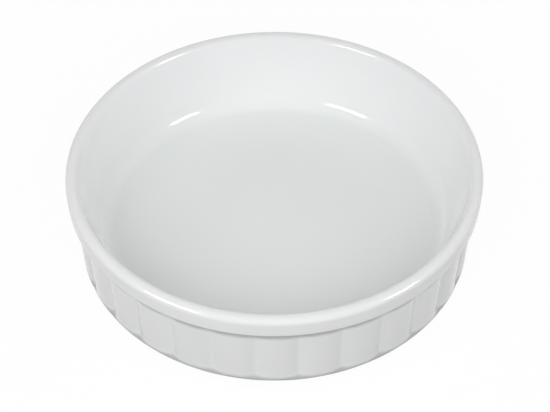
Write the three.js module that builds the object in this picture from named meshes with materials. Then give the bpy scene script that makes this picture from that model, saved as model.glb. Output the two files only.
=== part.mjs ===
// Round shallow creme brulee dish with a fluted outside, in millimetres.
// +Z is up, and the origin is on the table, under the middle of the foot ring.
//
// The dish is one casting. It is built here as the five zones that a potter
// names, each a closed solid that meets its neighbours face to face: the foot
// ring, the base disc, the heel ring, the fluted wall and the rim band.

import * as THREE from 'three';

const { degToRad, smoothstep } = THREE.MathUtils;

// Overall size
const RIM_DIAMETER = 125;
const HEIGHT = 30.8;

// Foot ring, the bare ring that the dish stands on
const FOOT_HEIGHT = 0.8;
const FOOT_WIDTH = 4;
const FOOT_INSET = 2.5;
const FOOT_EDGE_ROUND = 0.35;

// Base disc and the fillet that leads from its floor up into the wall
const BASE_THICKNESS = 5.2;
const FLOOR_FILLET = 6;

// Wall, with its draft inside and outside, and the round of its heel
const INSIDE_DRAFT = degToRad(13);
const OUTSIDE_DRAFT = degToRad(2);
const HEEL_ROUND = 2.3;

// Flutes: convex lobes side by side, with a sharp groove between neighbours that runs out on the heel
const FLUTE_COUNT = 30;
const FLUTE_DEPTH = 1.35;
const FLUTE_FLATNESS = 2.4;
const FLUTE_RUN_OUT = 3;

// Rim band
const RIM_HEIGHT = 6.5;
const RIM_THICKNESS = 3.5;
const RIM_OVERHANG = 1.4;
const RIM_OUTER_ROUND = 1.8;
const RIM_INNER_ROUND = 1.8;
const RIM_LOWER_ROUND = 0.9;

// Facets
const SEGMENTS_PER_FLUTE = 8;
const FLUTE_SEGMENTS = FLUTE_COUNT * SEGMENTS_PER_FLUTE;
const ROUND_SEGMENTS = 120;
const EDGE_STEPS = 3;
const RIM_STEPS = 4;
const HEEL_STEPS = 5;
const FILLET_STEPS = 6;

// Heights
const floorLevel = FOOT_HEIGHT + BASE_THICKNESS;
const rimBottom = HEIGHT - RIM_HEIGHT;

// Radii
const rimRadius = RIM_DIAMETER / 2;

// The crests of the flutes lean out towards the rim: their radius at height z.
const crestRadius = (z) => rimRadius - RIM_OVERHANG - (rimBottom - z) * Math.tan(OUTSIDE_DRAFT);

// The round of the heel touches the underside and the line of the crests.
const heelMiddleHeight = FOOT_HEIGHT + HEEL_ROUND;
const heelMiddleRadius = crestRadius(heelMiddleHeight) - HEEL_ROUND / Math.cos(OUTSIDE_DRAFT);
const footOuterRadius = heelMiddleRadius - FOOT_INSET;
const footInnerRadius = footOuterRadius - FOOT_WIDTH;

// The inside of the wall leans out too: its radius at height z.
const insideRadius = (z) => rimRadius - RIM_THICKNESS - (HEIGHT - z) * Math.tan(INSIDE_DRAFT);

// The fillet touches the floor and the inside of the wall, and the heel ring ends where it meets the wall.
const filletHeight = floorLevel + FLOOR_FILLET;
const baseRadius = insideRadius(filletHeight) - FLOOR_FILLET / Math.cos(INSIDE_DRAFT);
const heelTop = filletHeight - FLOOR_FILLET * Math.sin(INSIDE_DRAFT);

// A rounded corner as points (radius, height) from one angle to another, in radians.
function arc(radius, height, round, from, to, steps) {
  return Array.from({ length: steps + 1 }, (_, i) => {
    const angle = from + ((to - from) * i) / steps;
    return new THREE.Vector2(radius + round * Math.cos(angle), height + round * Math.sin(angle));
  });
}

const corner = (radius, height) => [new THREE.Vector2(radius, height)];

// A solid turned about Z from a profile of (radius, height) points that runs up the outside.
function turned(profile, segments) {
  return new THREE.LatheGeometry(profile, segments).rotateX(Math.PI / 2);
}

// A profile that goes round a ring closes on its first point.
const ringProfile = (...stretches) => {
  const points = stretches.flat();
  return [...points, points[0]];
};

function footRing() {
  const round = FOOT_EDGE_ROUND;
  const profile = ringProfile(
    arc(footInnerRadius + round, round, round, Math.PI, 1.5 * Math.PI, EDGE_STEPS),
    arc(footOuterRadius - round, round, round, -Math.PI / 2, 0, EDGE_STEPS),
    corner(footOuterRadius, FOOT_HEIGHT),
    corner(footInnerRadius, FOOT_HEIGHT),
  );
  return turned(profile, ROUND_SEGMENTS);
}

// The disc has as many sides as the heel ring, so that the two meet side to side.
function baseDisc() {
  const profile = [
    corner(0, FOOT_HEIGHT),
    corner(baseRadius, FOOT_HEIGHT),
    corner(baseRadius, floorLevel),
    corner(0, floorLevel),
  ].flat();
  return turned(profile, FLUTE_SEGMENTS);
}

// How far the outside of the wall lies inside its crests, at a share of the way from one crest
// to the next: nothing on the crests, the whole depth in the groove halfway.
function fluteDrop(share) {
  const towardsGroove = 1 - Math.abs(2 * share - 1);
  return FLUTE_DEPTH * towardsGroove ** FLUTE_FLATNESS;
}

// The share of their depth that the flutes have at height z: none at the underside, and all of it
// where their run-out ends.
const depthShare = (z) => smoothstep(z, FOOT_HEIGHT, FOOT_HEIGHT + FLUTE_RUN_OUT);

// A ring turned from an outside and an inside stretch. Outside points that stand proud of the
// flutes then move in to them, so the grooves run down the wall and run out on the round heel.
function flutedRing(outside, inside) {
  const profile = ringProfile(outside, inside);
  const ring = turned(profile, FLUTE_SEGMENTS);
  const points = ring.attributes.position;
  for (let i = 0; i < points.count; i += 1) {
    const column = Math.floor(i / profile.length);
    const row = i % profile.length;
    const isOutside = row < outside.length || row === profile.length - 1;
    if (isOutside) {
      const share = (column % SEGMENTS_PER_FLUTE) / SEGMENTS_PER_FLUTE;
      const height = points.getZ(i);
      const radius = Math.hypot(points.getX(i), points.getY(i));
      const flutedRadius = crestRadius(height) - depthShare(height) * fluteDrop(share);
      const scale = Math.min(radius, flutedRadius) / radius;
      points.setX(i, points.getX(i) * scale);
      points.setY(i, points.getY(i) * scale);
    }
  }
  return ring;
}

function heelRing() {
  const outside = [
    arc(heelMiddleRadius, heelMiddleHeight, HEEL_ROUND, -Math.PI / 2, -OUTSIDE_DRAFT, HEEL_STEPS),
    corner(crestRadius(heelTop), heelTop),
  ].flat();
  const inside = [
    arc(baseRadius, filletHeight, FLOOR_FILLET, -INSIDE_DRAFT, -Math.PI / 2, FILLET_STEPS),
    corner(baseRadius, FOOT_HEIGHT),
  ].flat();
  return flutedRing(outside, inside);
}

function flutedWall() {
  const outside = [
    corner(crestRadius(heelTop), heelTop),
    corner(crestRadius(rimBottom), rimBottom),
  ].flat();
  const inside = [
    corner(insideRadius(rimBottom), rimBottom),
    corner(insideRadius(heelTop), heelTop),
  ].flat();
  return flutedRing(outside, inside);
}

function rimBand() {
  const innerHeight = HEIGHT - RIM_INNER_ROUND;
  const innerRadius = insideRadius(innerHeight) + RIM_INNER_ROUND / Math.cos(INSIDE_DRAFT);
  const outerRadius = rimRadius - RIM_OUTER_ROUND;
  const lowerRadius = rimRadius - RIM_LOWER_ROUND;
  const profile = ringProfile(
    corner(insideRadius(rimBottom), rimBottom),
    arc(lowerRadius, rimBottom + RIM_LOWER_ROUND, RIM_LOWER_ROUND, -Math.PI / 2, 0, EDGE_STEPS),
    arc(outerRadius, HEIGHT - RIM_OUTER_ROUND, RIM_OUTER_ROUND, 0, Math.PI / 2, RIM_STEPS),
    arc(innerRadius, innerHeight, RIM_INNER_ROUND, Math.PI / 2, Math.PI - INSIDE_DRAFT, RIM_STEPS),
  );
  return turned(profile, ROUND_SEGMENTS);
}

// White glaze, and the bare fired clay where the dish stands
const glaze = () => new THREE.MeshStandardMaterial({ color: 0xeff1f0, roughness: 0.12, metalness: 0 });
const bareClay = () => new THREE.MeshStandardMaterial({ color: 0xe2ddd3, roughness: 0.8, metalness: 0 });

const zones = [
  { name: 'foot_ring', geometry: footRing(), material: bareClay() },
  { name: 'base_disc', geometry: baseDisc(), material: glaze() },
  { name: 'heel_ring', geometry: heelRing(), material: glaze() },
  { name: 'fluted_wall', geometry: flutedWall(), material: glaze() },
  { name: 'rim_band', geometry: rimBand(), material: glaze() },
];

const dish = new THREE.Group();
for (const { name, geometry, material } of zones) {
  const zone = new THREE.Mesh(geometry, material);
  zone.name = name;
  dish.add(zone);
}

export default dish;
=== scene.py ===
# %% [markdown]
# # A fluted creme brulee dish
#
# The real dish is one casting of white porcelain: a flat floor, a wall with convex flutes on its outside,
# and a rounded rim band that overhangs them. A clear glaze covers everything but the ring that it stands
# on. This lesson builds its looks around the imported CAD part, whose zones give the main heights and radii.
# The whole glazed surface is worked out at once, because on the real dish it has no seams.

# %% Load the frame
import math

import bpy
import numpy as np
from mathutils import Matrix, Vector


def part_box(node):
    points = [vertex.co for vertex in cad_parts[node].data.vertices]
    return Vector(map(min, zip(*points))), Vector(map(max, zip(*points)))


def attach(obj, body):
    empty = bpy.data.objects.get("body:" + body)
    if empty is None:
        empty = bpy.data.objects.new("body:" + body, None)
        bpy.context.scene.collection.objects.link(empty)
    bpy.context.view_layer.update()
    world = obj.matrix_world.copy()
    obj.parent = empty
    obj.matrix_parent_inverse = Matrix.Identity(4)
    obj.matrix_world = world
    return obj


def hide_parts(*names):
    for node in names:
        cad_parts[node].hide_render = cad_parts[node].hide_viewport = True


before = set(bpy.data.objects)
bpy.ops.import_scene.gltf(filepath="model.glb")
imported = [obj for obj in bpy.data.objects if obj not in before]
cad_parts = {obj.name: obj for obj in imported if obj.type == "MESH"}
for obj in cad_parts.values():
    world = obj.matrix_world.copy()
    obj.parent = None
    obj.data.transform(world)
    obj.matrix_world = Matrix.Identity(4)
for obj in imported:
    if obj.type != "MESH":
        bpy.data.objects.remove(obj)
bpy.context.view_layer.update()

# %% [markdown]
# ## Sizes
#
# A node's box gives the sizes that show in its outline, such as the rim's radius or the level of the
# floor. The sizes that a box can't give, such as a fillet or a draft, are written here once, in metres.

# %% Sizes from the frame, and the sizes of edges and flutes
MM = 0.001

foot_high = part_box("foot_ring")[1]
base_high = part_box("base_disc")[1]
wall_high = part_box("fluted_wall")[1]
rim_low, rim_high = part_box("rim_band")

HEIGHT = rim_high.z
RIM_RADIUS = rim_high.x
RIM_BOTTOM = rim_low.z
CREST_AT_TOP = wall_high.y
UNDERSIDE = foot_high.z
FLOOR_LEVEL = base_high.z
FLOOR_RADIUS = base_high.x
FOOT_RADIUS = foot_high.x

INSIDE_DRAFT = math.radians(13)
OUTSIDE_DRAFT = math.radians(2)
FLOOR_FILLET = 6 * MM
HEEL_ROUND = 2.3 * MM
NECK_ROUND = 0.35 * MM
RIM_THICKNESS = 3.5 * MM
RIM_OUTER_ROUND = 1.8 * MM
RIM_INNER_ROUND = 1.8 * MM
RIM_LOWER_ROUND = 0.9 * MM
FOOT_WIDTH = 4 * MM
FOOT_EDGE_ROUND = 0.35 * MM

FLUTE_COUNT = 30
FLUTE_DEPTH = 1.35 * MM
FLUTE_FLATNESS = 2.4
FLUTE_RUN_OUT = 3 * MM
GROOVE_SOFTNESS = 0.05
HEEL_SOFTNESS = 0.1 * MM

for what, length in (("rim radius", RIM_RADIUS), ("height", HEIGHT), ("floor level", FLOOR_LEVEL)):
    print(what, "in mm:", round(length / MM, 2))

# %% [markdown]
# ## The profile
#
# A dish is a profile carried round an axis. The profile is a list of (radius, height) points made of
# straight stretches and arcs that touch each other, so that light runs over the edges without a break.
# Lathing it with Blender's Screw modifier would give a plain dish. The flutes need each ring of points to
# wave, so the profile has a third number: how much of the flutes' depth a point takes.

# %% Straight stretches, arcs and leaning lines
QUARTER = math.pi / 2


def straight(start, stop, count):
    """Points evenly spaced from start to stop: start plus a share of the way, from 0 to 1."""
    share = np.linspace(0, 1, count)[:, None]
    return (1 - share) * np.array(start) + share * np.array(stop)


def arc(radius, height, round_, start, stop, count):
    """Points on a circle: its middle (radius, height) plus round_ times the cosine and sine of an angle."""
    angle = np.linspace(start, stop, count)
    return np.stack([radius + round_ * np.cos(angle), height + round_ * np.sin(angle)], axis=1)


def inside_radius(height):
    """Radius of the wall's inside at a height: the rim's inner radius less the lean of the draft."""
    return RIM_RADIUS - RIM_THICKNESS - (HEIGHT - height) * math.tan(INSIDE_DRAFT)


def crest_radius(height):
    """Radius of the flutes' crests at a height: the radius under the rim less the lean of the draft."""
    return CREST_AT_TOP - (RIM_BOTTOM - height) * math.tan(OUTSIDE_DRAFT)


# %% The glazed profile, from the middle of the underside to the middle of the floor
def glazed_profile():
    """The stretches in order, each with the share of the flutes that its first and last points take."""
    heel_height = UNDERSIDE + HEEL_ROUND
    heel_middle = crest_radius(heel_height) - HEEL_ROUND / math.cos(OUTSIDE_DRAFT)
    inner_height = HEIGHT - RIM_INNER_ROUND
    inner_middle = inside_radius(inner_height) + RIM_INNER_ROUND / math.cos(INSIDE_DRAFT)
    lower_middle = RIM_RADIUS - RIM_LOWER_ROUND
    outer_middle = RIM_RADIUS - RIM_OUTER_ROUND
    wall_top = RIM_BOTTOM - NECK_ROUND
    heel = arc(heel_middle, heel_height, HEEL_ROUND, -QUARTER, -OUTSIDE_DRAFT, 16)
    neck = arc(crest_radius(wall_top) + NECK_ROUND, wall_top, NECK_ROUND, math.pi, QUARTER, 6)
    lower = arc(lower_middle, RIM_BOTTOM + RIM_LOWER_ROUND, RIM_LOWER_ROUND, -QUARTER, 0, 8)
    outer = arc(outer_middle, HEIGHT - RIM_OUTER_ROUND, RIM_OUTER_ROUND, 0, QUARTER, 13)
    inner = arc(inner_middle, inner_height, RIM_INNER_ROUND, QUARTER, math.pi - INSIDE_DRAFT, 12)
    fillet = arc(FLOOR_RADIUS, FLOOR_LEVEL + FLOOR_FILLET, FLOOR_FILLET, -INSIDE_DRAFT, -QUARTER, 22)
    return [
        (straight((0, UNDERSIDE), (FOOT_RADIUS, UNDERSIDE), 8), 0, 0),
        (straight((FOOT_RADIUS, UNDERSIDE), heel[0], 3), 0, 1),
        (heel, 1, 1),
        (straight(heel[-1], neck[0], 20), 1, 1),
        (neck, 1, 1),
        (straight(neck[-1], lower[0], 3), 1, 0),
        (lower, 0, 0),
        (straight(lower[-1], outer[0], 5), 0, 0),
        (outer, 0, 0),
        (straight(outer[-1], inner[0], 3), 0, 0),
        (inner, 0, 0),
        (straight(inner[-1], fillet[0], 14), 0, 0),
        (fillet, 0, 0),
        (straight((FLOOR_RADIUS, FLOOR_LEVEL), (0, FLOOR_LEVEL), 16), 0, 0),
    ]


def joined(stretches):
    """All stretches as one array of (radius, height, flute share), with one point where two of them meet."""
    rows = [
        np.column_stack([points, np.linspace(first, last, len(points))])[:-1]
        for points, first, last in stretches
    ]
    end = np.append(stretches[-1][0][-1], stretches[-1][2])
    return np.vstack(rows + [end])


profile = joined(glazed_profile())
print("profile points:", len(profile))

# %% [markdown]
# ## The flutes
#
# Each flute is a convex lobe. Its drop below the crest grows with a power of the way to the groove, so
# the lobe is nearly flat in the middle and turns in sharply at its sides. A cusp would be infinitely
# sharp, and glaze rounds every corner, so the way to the groove is softened by a hyperbola close to the
# groove. The columns of the mesh stand closer together near the grooves, where the surface turns most.
#
# The bottom edge of the dish is a plain circle, so the grooves run out above it: they get shallower over
# the lowest few millimetres. On the round heel, which lies inside the crests already, they cut only what
# is left.

# %% Flute shape
COLUMNS_PER_FLUTE = 16
COLUMN_CROWDING = 1.5


def flute_columns():
    """Ways from crest to crest, from -1 to 1, crowded towards the grooves by a power of the distance."""
    even = np.linspace(-1, 1, COLUMNS_PER_FLUTE, endpoint=False)
    return np.sign(even) * (1 - (1 - np.abs(even)) ** COLUMN_CROWDING)


def flute_drop(way):
    """Depth times a power of 1 minus the distance to the groove, a hyperbola that is flat in the groove."""
    soft = GROOVE_SOFTNESS
    distance = (np.hypot(1 - np.abs(way), soft) - soft) / (math.hypot(1, soft) - soft)
    return FLUTE_DEPTH * (1 - distance) ** FLUTE_FLATNESS


def depth_share(height):
    """Share of the flutes' depth at a height: the smooth step 3 t^2 - 2 t^3 of the way t up the run-out."""
    way_up = np.clip((height - UNDERSIDE) / FLUTE_RUN_OUT, 0, 1)
    return way_up ** 2 * (3 - 2 * way_up)


def soft_positive(length):
    """A length where it is positive and nothing where it is negative, joined by a hyperbola."""
    return (length + np.hypot(length, HEEL_SOFTNESS)) / 2


way = np.tile(flute_columns(), FLUTE_COUNT)
flute = np.repeat(np.arange(FLUTE_COUNT), COLUMNS_PER_FLUTE)
azimuth = (flute + way / 2) * 2 * math.pi / FLUTE_COUNT
drop = flute_drop(way)
print("columns:", len(azimuth), "deepest groove in mm:", round(drop.max() / MM, 2))

# %% [markdown]
# ## From a grid to a mesh
#
# Rows of the grid are points of the profile, and columns are directions round the axis. Every row is a
# closed ring, so the last column joins the first. A row of radius 0 is a single point, and its ring
# becomes a fan. Azimuth 0 points to the front, along -Y, as in the CAD.

# %% Turned surfaces
def turned_points(radius, height, azimuth):
    """A grid of points: radius times the sine and minus cosine of the azimuth, at each row's height."""
    across = radius * np.sin(azimuth)
    along = -radius * np.cos(azimuth)
    return np.stack([across, along, np.broadcast_to(height, across.shape)], axis=-1)


def ring_faces(rows, columns):
    """Quads between neighbouring rings: two neighbouring points of a row, and the two of the next row."""
    row, column = np.meshgrid(np.arange(rows - 1), np.arange(columns), indexing="ij")
    beside = (column + 1) % columns
    low, high = row * columns, (row + 1) * columns
    return np.stack([low + column, low + beside, high + beside, high + column], axis=-1).reshape(-1, 4)


def fan_faces(centre, ring, columns, upwards):
    """Triangles between a middle point and a ring, turned to face up or down."""
    column = np.arange(columns)
    beside = (column + 1) % columns
    first, second = (column, beside) if upwards else (beside, column)
    return np.stack([np.full(columns, centre), ring + first, ring + second], axis=-1)


def new_piece(name, points, faces):
    """A smooth mesh object at the origin, riding on the part's only body."""
    mesh = bpy.data.meshes.new(name)
    mesh.from_pydata(points.tolist(), [], faces)
    mesh.polygons.foreach_set("use_smooth", np.ones(len(mesh.polygons), bool))
    mesh.update()
    mesh.validate()
    piece = bpy.data.objects.new(name, mesh)
    bpy.context.scene.collection.objects.link(piece)
    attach(piece, "root")
    return piece


# %% The glazed dish
rings = profile[1:-1]
ring_radius, ring_height, ring_share = rings[:, 0:1], rings[:, 1:2], rings[:, 2:3]
inset = np.clip(crest_radius(ring_height) - ring_radius, 0, None)
groove = depth_share(ring_height) * drop
radius = ring_radius - ring_share * soft_positive(groove - inset)
grid = turned_points(radius, ring_height, azimuth)
columns = len(azimuth)
ring_count = len(rings)
poles = np.array([[0, 0, profile[0, 1]], [0, 0, profile[-1, 1]]])
points = np.vstack([grid.reshape(-1, 3), poles])
under_pole = ring_count * columns
floor_pole = under_pole + 1
faces = ring_faces(ring_count, columns).tolist()
faces += fan_faces(under_pole, 0, columns, upwards=False).tolist()
faces += fan_faces(floor_pole, (ring_count - 1) * columns, columns, upwards=True).tolist()
dish = new_piece("glazed_dish", points, faces)
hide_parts("base_disc", "heel_ring", "fluted_wall", "rim_band")
print("glazed dish:", len(points), "points,", len(faces), "faces")

# %% [markdown]
# ## How thick the glaze lies, and where shade is painted
#
# Molten glaze creeps away from rounded edges and pools in hollows, so a rim is a little paler than a
# groove. On level ground it stays where it is, so the floor has a little more of it than the walls. The
# outside also gets painted shade: a dark line under the rim band, which hangs lower in the grooves, and a
# thinner one above the foot, where the overhang and the table shade the wall. All this could be painted by
# hand, but the shape itself knows where glaze lies and where these shade lines fall. The bend of the surface
# is measured along both directions of the grid, and the painted shade lines are measured down from the rim
# and up from the foot. The result is kept as an attribute, which the material reads later: a half on steep
# plain walls, more where glaze pools and less on edges, and most in the painted shade lines.

# %% Glaze depth from the bend of the surface, and the painted shade lines
GLAZE_CREEP = 0.35 * MM
LEVEL_GLAZE_DEPTH = 0.12
RIM_SHADE_REACH = 2.7 * MM
FOOT_SHADE_REACH = 2.4 * MM
SHADE_EDGE_SOFTNESS = 0.35 * MM


def outward_normals(grid):
    """Unit normals of the grid: the step round the dish crossed with the step along the profile."""
    round_step = np.roll(grid, -1, axis=1) - np.roll(grid, 1, axis=1)
    normal = np.cross(round_step, np.gradient(grid, axis=0))
    return normal / np.linalg.norm(normal, axis=-1, keepdims=True)


def bend(grid, axis, outward):
    """The change of the unit step from point to point over its length, taken along the outward normal."""
    ahead = np.roll(grid, -1, axis) - grid
    behind = grid - np.roll(grid, 1, axis)
    ahead_length = np.linalg.norm(ahead, axis=-1, keepdims=True)
    behind_length = np.linalg.norm(behind, axis=-1, keepdims=True)
    change = ahead / ahead_length - behind / behind_length
    return 2 * np.sum(change * outward / (ahead_length + behind_length), axis=-1)


def within(length, reach):
    """1 for lengths well within a reach and 0 for lengths well past it: one over one plus an exponential."""
    return 1 / (1 + np.exp((length - reach) / SHADE_EDGE_SOFTNESS))


outward = outward_normals(grid)
along_profile = bend(grid, 0, outward)
along_profile[[0, -1]] = 0
pooled = np.tanh(GLAZE_CREEP * (along_profile + bend(grid, 1, outward)))
settled = (np.roll(pooled, 1, axis=1) + 2 * pooled + np.roll(pooled, -1, axis=1)) / 4
# Painted shade: a dark line under the rim band, lower in the grooves, and a thinner one above the foot.
shade_under_rim = within(RIM_BOTTOM - ring_height - drop[None, :], RIM_SHADE_REACH)
shade_above_foot = within(ring_height - UNDERSIDE, FOOT_SHADE_REACH)
painted_shade = (ring_share > 0) * np.maximum(shade_under_rim, shade_above_foot)
level = LEVEL_GLAZE_DEPTH * np.clip(outward[..., 2], 0, 1) ** 2 * (ring_height < RIM_BOTTOM)
glaze_and_shade = np.maximum(0.5 * settled + level, painted_shade)
at_poles = [0, LEVEL_GLAZE_DEPTH]
glaze_depth = 0.5 + 0.5 * np.append(glaze_and_shade.ravel(), at_poles)
depth_and_shade_layer = dish.data.attributes.new("glaze_depth", "FLOAT", "POINT")
depth_and_shade_layer.data.foreach_set("value", glaze_depth.astype(np.float32))
print("glaze depth from", glaze_depth.min().round(2), "to", glaze_depth.max().round(2))

# %% [markdown]
# ## The foot ring
#
# The dish stands on a narrow ring that has no glaze. It could be part of the glazed surface, with a
# second material on its faces. As a mesh of its own it has a crisp edge against the glaze, like the edge
# that wiping leaves. Its outline is closed, so the last ring of points joins the first.

# %% The bare foot ring
def foot_profile():
    """The ring's closed outline: along its bottom from the inner edge, up its outside and over its top."""
    inner = FOOT_RADIUS - FOOT_WIDTH
    edge = FOOT_EDGE_ROUND
    return np.vstack([
        arc(inner + edge, edge, edge, math.pi, 1.5 * math.pi, 7),
        straight((inner + edge, 0), (FOOT_RADIUS - edge, 0), 6)[1:-1],
        arc(FOOT_RADIUS - edge, edge, edge, -QUARTER, 0, 7),
        straight((FOOT_RADIUS, UNDERSIDE), (inner, UNDERSIDE), 4),
    ])


FOOT_COLUMNS = 360
foot_outline = foot_profile()
foot_azimuth = np.linspace(0, 2 * math.pi, FOOT_COLUMNS, endpoint=False)
foot_grid = turned_points(foot_outline[:, 0:1] + 0 * foot_azimuth, foot_outline[:, 1:2], foot_azimuth)
closing = ring_faces(len(foot_outline) + 1, FOOT_COLUMNS) % (len(foot_outline) * FOOT_COLUMNS)
foot = new_piece("bare_foot_ring", foot_grid.reshape(-1, 3), closing.tolist())
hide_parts("foot_ring")
print("foot ring faces:", len(closing))

# %% [markdown]
# ## Shader sums
#
# A material is a net of nodes, and a net of many small Math nodes is hard to read. This class wraps one
# socket of a net. Adding, multiplying or comparing wires adds the Math node for it, so that a mask reads
# as a sum. One method adds every other kind of node.

# %% A wire in a net of nodes
class Wire:
    """One output socket. Arithmetic with wires and numbers gives the wire of a new Math node."""

    def __init__(self, tree, socket=None):
        self.tree = tree
        self.socket = socket

    def node(self, kind, settings, sockets, output=0):
        """A new node: its settings come first, with a ramp's stops among them, then the values and links."""
        made = self.tree.nodes.new("ShaderNode" + kind)
        for name, value in settings.items():
            if name == "stops":
                ramp = made.color_ramp.elements
                while len(ramp) < len(value):
                    ramp.new(1)
                for stop, (position, colour) in zip(ramp, value):
                    stop.position = position
                    stop.color = (*colour, 1)
            else:
                setattr(made, name, value)
        for name, value in sockets.items():
            if isinstance(value, Wire):
                self.tree.links.new(value.socket, made.inputs[name])
            else:
                made.inputs[name].default_value = value
        return Wire(self.tree, made.outputs[output] if made.outputs else None)

    def sum_of(self, operation, first, second):
        return self.node("Math", {"operation": operation}, {0: first, 1: second})

    def __add__(self, other):
        return self.sum_of("ADD", self, other)

    def __radd__(self, other):
        return self.sum_of("ADD", other, self)

    def __sub__(self, other):
        return self.sum_of("SUBTRACT", self, other)

    def __rsub__(self, other):
        return self.sum_of("SUBTRACT", other, self)

    def __mul__(self, other):
        return self.sum_of("MULTIPLY", self, other)

    def __rmul__(self, other):
        return self.sum_of("MULTIPLY", other, self)

    def __lt__(self, other):
        return self.sum_of("LESS_THAN", self, other)

    def __gt__(self, other):
        return self.sum_of("GREATER_THAN", self, other)


def new_material(name):
    """An empty material and a wire that stands at the start of its net."""
    material = bpy.data.materials.new(name)
    material.use_nodes = True
    material.node_tree.nodes.clear()
    return material, Wire(material.node_tree)


def noise(net, place, scale, detail):
    """Soft noise from 0 to 1, with about as many lumps to a metre as the scale says."""
    return net.node("TexNoise", {}, {"Vector": place, "Scale": scale, "Detail": detail})


# %% [markdown]
# ## White glaze
#
# The glaze is clear glass over white porcelain. Thin glaze on the edges lets the warm body through, level
# glaze on the floor has a breath of green, and pooled glaze in hollows is a little grey. The darkest tone is
# painted shade, for the lines under the rim band and above the foot. It could be built as a coat over a
# body, but at this size one glossy shader gives the same look. Three things keep it from looking like
# plastic: faint clouds from uneven dipping, a slow waviness that makes reflections wander, and a few
# pinholes where gas left the glaze.

# %% White glaze
THIN_GLAZE = (0.880, 0.880, 0.872)
EVEN_GLAZE = (0.857, 0.861, 0.868)
LEVEL_GLAZE = (0.862, 0.888, 0.880)
POOLED_GLAZE = (0.752, 0.762, 0.764)
# The darkest tone is painted shade, for the dark lines under the rim band and above the foot.
PAINTED_SHADE_TONE = (0.433, 0.440, 0.448)
GLAZE_AND_SHADE_TINTS = [
    (0, THIN_GLAZE),
    (0.5, EVEN_GLAZE),
    (0.5 + 0.5 * LEVEL_GLAZE_DEPTH, LEVEL_GLAZE),
    (0.75, POOLED_GLAZE),
    (1, PAINTED_SHADE_TONE),
]
CLOUDINESS = 0.03
WAVE_HEIGHT = 0.01 * MM

glaze, net = new_material("white_glaze")
place = net.node("TexCoord", {}, {}, "Object")
depth = net.node("Attribute", {"attribute_name": "glaze_depth"}, {}, "Fac")
tint = net.node("ValToRGB", {"stops": GLAZE_AND_SHADE_TINTS}, {"Fac": depth})
clouds = noise(net, place, 32, 3)
waves = noise(net, place, 230, 1)
ripples = noise(net, place, 700, 1)
cell = net.node("TexVoronoi", {}, {"Vector": place, "Scale": 55})
chance = net.node("TexVoronoi", {}, {"Vector": place, "Scale": 55}, "Color")
pinhole = (cell < 0.012) * (chance > 0.62)
shade = (1 - CLOUDINESS / 2 + CLOUDINESS * clouds) * (1 - 0.12 * pinhole)
colour = net.node("VectorMath", {"operation": "SCALE"}, {0: tint, "Scale": shade})
height = 0.75 * waves + 0.25 * ripples - 0.6 * pinhole
wavy = net.node("Bump", {}, {"Strength": 1, "Distance": WAVE_HEIGHT, "Height": height}, "Normal")
glossy = net.node(
    "BsdfPrincipled",
    {},
    {"Base Color": colour, "Roughness": 0.05 + 0.06 * clouds, "IOR": 1.5, "Normal": wavy},
)
net.node("OutputMaterial", {}, {"Surface": glossy})
dish.data.materials.append(glaze)
print("white glaze nodes:", len(glaze.node_tree.nodes))

# %% [markdown]
# ## Bare clay
#
# The foot ring is wiped clean of glaze before firing, or it would stick to the kiln shelf, and it is
# ground flat afterwards. Bare porcelain is matt and a little warmer than the glaze, with a fine grain and
# a few darker grains where it was ground.

# %% Bare clay
PALE_CLAY = (0.74, 0.71, 0.65)
DARK_CLAY = (0.62, 0.58, 0.51)
GRAIN_HEIGHT = 0.03 * MM

clay, net = new_material("bare_clay")
place = net.node("TexCoord", {}, {}, "Object")
grain = noise(net, place, 1600, 2)
stain = noise(net, place, 90, 3)
speck = net.node("TexVoronoi", {}, {"Vector": place, "Scale": 420}) < 0.16
colour = net.node(
    "ValToRGB",
    {"stops": [(0.2, DARK_CLAY), (0.75, PALE_CLAY)]},
    {"Fac": 0.45 * grain + 0.55 * stain - 0.12 * speck},
)
rough = net.node("Bump", {}, {"Strength": 1, "Distance": GRAIN_HEIGHT, "Height": grain}, "Normal")
matt = net.node(
    "BsdfPrincipled",
    {},
    {"Base Color": colour, "Roughness": 0.72 + 0.2 * grain, "Normal": rough},
)
net.node("OutputMaterial", {}, {"Surface": matt})
foot.data.materials.append(clay)
print("bare clay nodes:", len(clay.node_tree.nodes))

# %% [markdown]
# ## Camera
#
# The camera stands where a person at the table would look from, a little under half a metre away and 46
# degrees above the table. Its numbers were found by fitting the outline of the rim, the sides and the
# bottom edge.

# %% Camera
CAMERA_ELEVATION = math.radians(45.82)
CAMERA_AZIMUTH = math.radians(-0.34)
CAMERA_DISTANCE = 435.5 * MM
CAMERA_ROLL = math.radians(-0.317)
AIM_RIGHT = 0.15 * MM
AIM_HEIGHT = 11.45 * MM
FOCAL_PIXELS = 1406.7
IMAGE_WIDTH = 550

scene = bpy.context.scene
camera_data = bpy.data.cameras.new("camera")
camera_data.sensor_width = 36
camera_data.lens = FOCAL_PIXELS * camera_data.sensor_width / IMAGE_WIDTH
camera_data.clip_start = 0.01
camera = bpy.data.objects.new("camera", camera_data)
scene.collection.objects.link(camera)
turn = Matrix.Rotation(CAMERA_AZIMUTH, 3, "Z")
back = turn @ Vector((0, -math.cos(CAMERA_ELEVATION), math.sin(CAMERA_ELEVATION)))
aim = turn @ Vector((AIM_RIGHT, 0, AIM_HEIGHT))
camera.location = aim + CAMERA_DISTANCE * back
rotation = (-back).to_track_quat("-Z", "Y").to_matrix() @ Matrix.Rotation(CAMERA_ROLL, 3, "Z")
camera.rotation_euler = rotation.to_euler()
scene.camera = camera
print("lens in mm:", round(camera_data.lens, 2))

# %% [markdown]
# ## Floor
#
# A white dish on white paper needs paper that looks white and yet doesn't flood the dish's underside with
# light. So the floor is a grey paper to the light that bounces off it, and white to the camera and to the
# dish's reflections. It keeps a little of its own shading, and so it keeps the dish's shadow.

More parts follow.
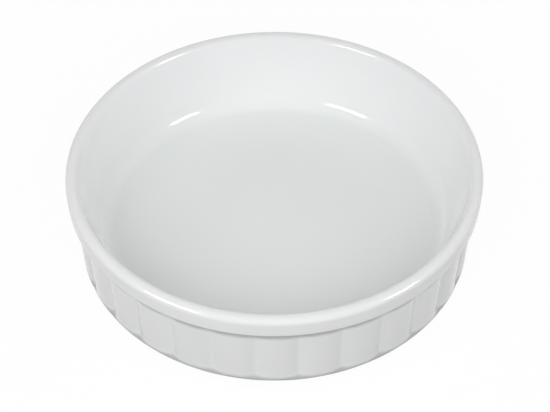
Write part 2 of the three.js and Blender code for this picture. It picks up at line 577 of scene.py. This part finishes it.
# %% Floor
PAPER_GREY = 0.35
PAPER_WHITE = 1.0
GLOW = 0.95
HALF_SIDE = 3.0


def seen_directly(net):
    """1 for rays that the camera sends, straight or by gloss or glass, and 0 for light that bounces."""
    from_camera = net.node("LightPath", {}, {}, "Is Camera Ray")
    by_gloss = net.node("LightPath", {}, {}, "Is Glossy Ray")
    through_glass = net.node("LightPath", {}, {}, "Is Transmission Ray")
    return from_camera + by_gloss + through_glass > 0.5


floor_mesh = bpy.data.meshes.new("floor")
corners = HALF_SIDE * np.array([(-1, -1, 0), (1, -1, 0), (1, 1, 0), (-1, 1, 0)])
floor_mesh.from_pydata(corners.tolist(), [], [(0, 1, 2, 3)])
floor = bpy.data.objects.new("floor", floor_mesh)
scene.collection.objects.link(floor)
paper, net = new_material("paper")
seen = seen_directly(net)
level = PAPER_GREY + (PAPER_WHITE - PAPER_GREY) * seen
lit = net.node("BsdfDiffuse", {}, {"Color": level})
glow = net.node("Emission", {}, {"Strength": 1})
net.node("OutputMaterial", {}, {"Surface": net.node("MixShader", {}, {0: GLOW * seen, 1: lit, 2: glow})})
floor.data.materials.append(paper)

# %% [markdown]
# ## Light
#
# The light is that of a small product studio: large soft lamps in front, weaker ones on the right and low
# behind, and two small ones, the sparks, that show only as highlights in the glaze. The large lamps don't
# show in it, as if they stood behind white sheets. The world adds a little light from all sides, and is
# white where the camera or a reflection meets it.

# %% World and lamps
WORLD_LEVEL = 0.35
LAMPS = [
    ("front_left", -40, 40, (0.50, 0.38), 1.08),
    ("front", 0, 35, (0.50, 0.34), 0.48),
    ("front_right", 45, 40, (0.50, 0.38), 0.61),
    ("right", 90, 40, (0.42, 0.34), 0.10),
    ("back_left", -135, 20, (0.50, 0.20), 0.38),
    ("back_right", 135, 20, (0.50, 0.20), 0.54),
    ("spark_left", -49, 30, (0.20, 0.12), 1.2),
    ("spark_right", 61, 31, (0.13, 0.12), 0.95),
]
LAMP_DISTANCE = 0.5

world = bpy.data.worlds.new("studio")
world.use_nodes = True
world.node_tree.nodes.clear()
scene.world = world
net = Wire(world.node_tree)
seen = seen_directly(net)
sky = net.node("Background", {}, {"Strength": WORLD_LEVEL + (1 - WORLD_LEVEL) * seen})
net.node("OutputWorld", {}, {"Surface": sky})


def lamp(name, azimuth, elevation, size, power):
    """A soft rectangular lamp that faces the dish, from an azimuth and elevation in degrees."""
    data = bpy.data.lights.new(name, "AREA")
    data.shape = "RECTANGLE"
    data.size, data.size_y = size
    data.energy = power
    made = bpy.data.objects.new(name, data)
    scene.collection.objects.link(made)
    azimuth, elevation = math.radians(azimuth), math.radians(elevation)
    out = math.cos(elevation)
    towards = Vector((out * math.sin(azimuth), -out * math.cos(azimuth), math.sin(elevation)))
    made.location = LAMP_DISTANCE * towards
    made.rotation_euler = towards.to_track_quat("Z", "Y").to_euler()
    made.visible_camera = False
    made.visible_glossy = name.startswith("spark")
    made.visible_diffuse = not name.startswith("spark")


for settings in LAMPS:
    lamp(*settings)
print("lamps:", len(LAMPS), "watts:", sum(settings[-1] for settings in LAMPS))

scene.view_settings.view_transform = "Standard"
